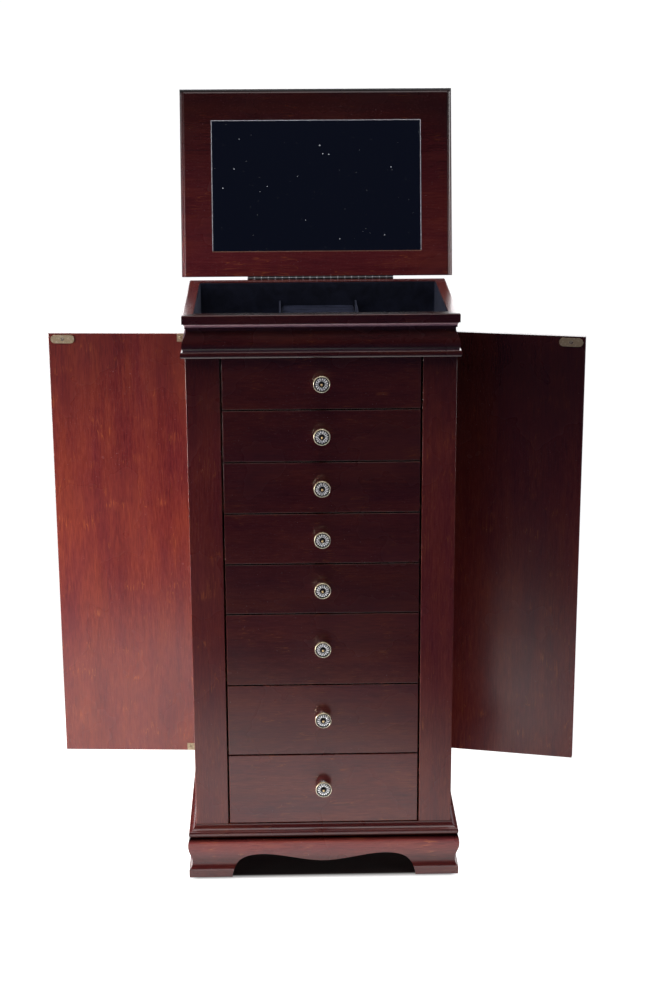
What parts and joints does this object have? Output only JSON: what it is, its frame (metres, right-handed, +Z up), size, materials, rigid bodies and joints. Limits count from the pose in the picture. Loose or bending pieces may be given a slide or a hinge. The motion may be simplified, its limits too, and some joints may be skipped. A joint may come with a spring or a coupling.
{
  "type": "jewelry armoire",
  "caption": "Free-standing jewelry armoire: mirrored lift-up lid over a lined tray, a stack of sliding drawers between wide posts, and a hinged necklace door on each side.",
  "frame": {"origin": "on the floor, under the middle of the case's width and depth", "axes": "+X to the right seen from the front, -Y to the front, +Z up"},
  "size_m": [0.9587, 0.4398, 1.339],
  "materials": {
    "cherry_wood": "satin lacquer over dark cherry stain",
    "drawer_wood": "thin matt lacquer",
    "black_velvet": "short-pile velvet",
    "mirror_glass": "polished, bevelled edge",
    "antique_nickel": "antique nickel, darkened in the recesses",
    "black_hinge": "black enamel, worn at the knuckles",
    "antique_brass": "pale antique brass",
    "dark_felt": "pressed felt",
    "catch_plastic": "moulded, satin"
  },
  "bodies": {
    "case": {"left_post": "cherry_wood", "right_post": "cherry_wood", "inner_walls": "cherry_wood", "bottom_board": "cherry_wood", "top_deck": "drawer_wood", "back_panel": "cherry_wood", "side_rails": "cherry_wood", "drawer_runners": "drawer_wood", "cornice_front": "cherry_wood", "cornice_left": "cherry_wood", "cornice_right": "cherry_wood", "top_box_back": "cherry_wood", "base_moulding": "cherry_wood", "front_skirt": "cherry_wood", "side_skirts": "cherry_wood", "rear_skirt": "cherry_wood", "corner_blocks": "drawer_wood", "foot_glides": "dark_felt", "top_box_lining": "black_velvet", "tray_dividers": "black_velvet", "ring_roll_bed": "black_velvet", "piano_hinge_case_leaf": "black_hinge", "piano_hinge_pin": "black_hinge", "case_hinge_leaves": "antique_brass", "catch_magnets": "catch_plastic", "hook_rails": "cherry_wood", "necklace_hooks": "antique_brass"},
    "lid": {"lid_panel": "cherry_wood", "mirror": "mirror_glass", "piano_hinge_lid_leaf": "black_hinge"},
    "door_left": {"left_door": "cherry_wood", "left_strike_plate": "antique_brass", "left_door_hinges": "antique_brass"},
    "door_right": {"right_door": "cherry_wood", "right_strike_plate": "antique_brass", "right_door_hinges": "antique_brass"},
    "drawer_1": {"drawer_1_front": "cherry_wood", "drawer_1_box": "drawer_wood", "drawer_1_knob": "antique_nickel"},
    "drawer_2": {"drawer_2_front": "cherry_wood", "drawer_2_box": "drawer_wood", "drawer_2_knob": "antique_nickel"},
    "drawer_3": {"drawer_3_front": "cherry_wood", "drawer_3_box": "drawer_wood", "drawer_3_knob": "antique_nickel"},
    "drawer_4": {"drawer_4_front": "cherry_wood", "drawer_4_box": "drawer_wood", "drawer_4_knob": "antique_nickel"},
    "drawer_5": {"drawer_5_front": "cherry_wood", "drawer_5_box": "drawer_wood", "drawer_5_knob": "antique_nickel"},
    "drawer_6": {"drawer_6_front": "cherry_wood", "drawer_6_box": "drawer_wood", "drawer_6_knob": "antique_nickel"},
    "drawer_7": {"drawer_7_front": "cherry_wood", "drawer_7_box": "drawer_wood", "drawer_7_knob": "antique_nickel"},
    "drawer_8": {"drawer_8_front": "cherry_wood", "drawer_8_box": "drawer_wood", "drawer_8_knob": "antique_nickel"}
  },
  "joints": [
    {"name": "lid_hinge", "type": "hinge", "parent": "case", "child": "lid", "pos_m": [0.0055, 0.1635, 1.0127], "axis": [1, 0, 0], "range_deg": [0, 103]},
    {"name": "left_door_hinge", "type": "hinge", "parent": "case", "child": "door_left", "pos_m": [-0.227, 0.151, 0.5155], "axis": [0, 0, 1], "range_deg": [-17, 93]},
    {"name": "right_door_hinge", "type": "hinge", "parent": "case", "child": "door_right", "pos_m": [0.227, 0.151, 0.5155], "axis": [0, 0, 1], "range_deg": [-76.6, 33.4]},
    {"name": "drawer_1_slide", "type": "slide", "parent": "case", "child": "drawer_1", "axis": [0, -1, 0], "range_m": [0, 0.2]},
    {"name": "drawer_2_slide", "type": "slide", "parent": "case", "child": "drawer_2", "axis": [0, -1, 0], "range_m": [0, 0.2]},
    {"name": "drawer_3_slide", "type": "slide", "parent": "case", "child": "drawer_3", "axis": [0, -1, 0], "range_m": [0, 0.2]},
    {"name": "drawer_4_slide", "type": "slide", "parent": "case", "child": "drawer_4", "axis": [0, -1, 0], "range_m": [0, 0.2]},
    {"name": "drawer_5_slide", "type": "slide", "parent": "case", "child": "drawer_5", "axis": [0, -1, 0], "range_m": [0, 0.2]},
    {"name": "drawer_6_slide", "type": "slide", "parent": "case", "child": "drawer_6", "axis": [0, -1, 0], "range_m": [0, 0.2]},
    {"name": "drawer_7_slide", "type": "slide", "parent": "case", "child": "drawer_7", "axis": [0, -1, 0], "range_m": [0, 0.2]},
    {"name": "drawer_8_slide", "type": "slide", "parent": "case", "child": "drawer_8", "axis": [0, -1, 0], "range_m": [0, 0.2]}
  ]
}
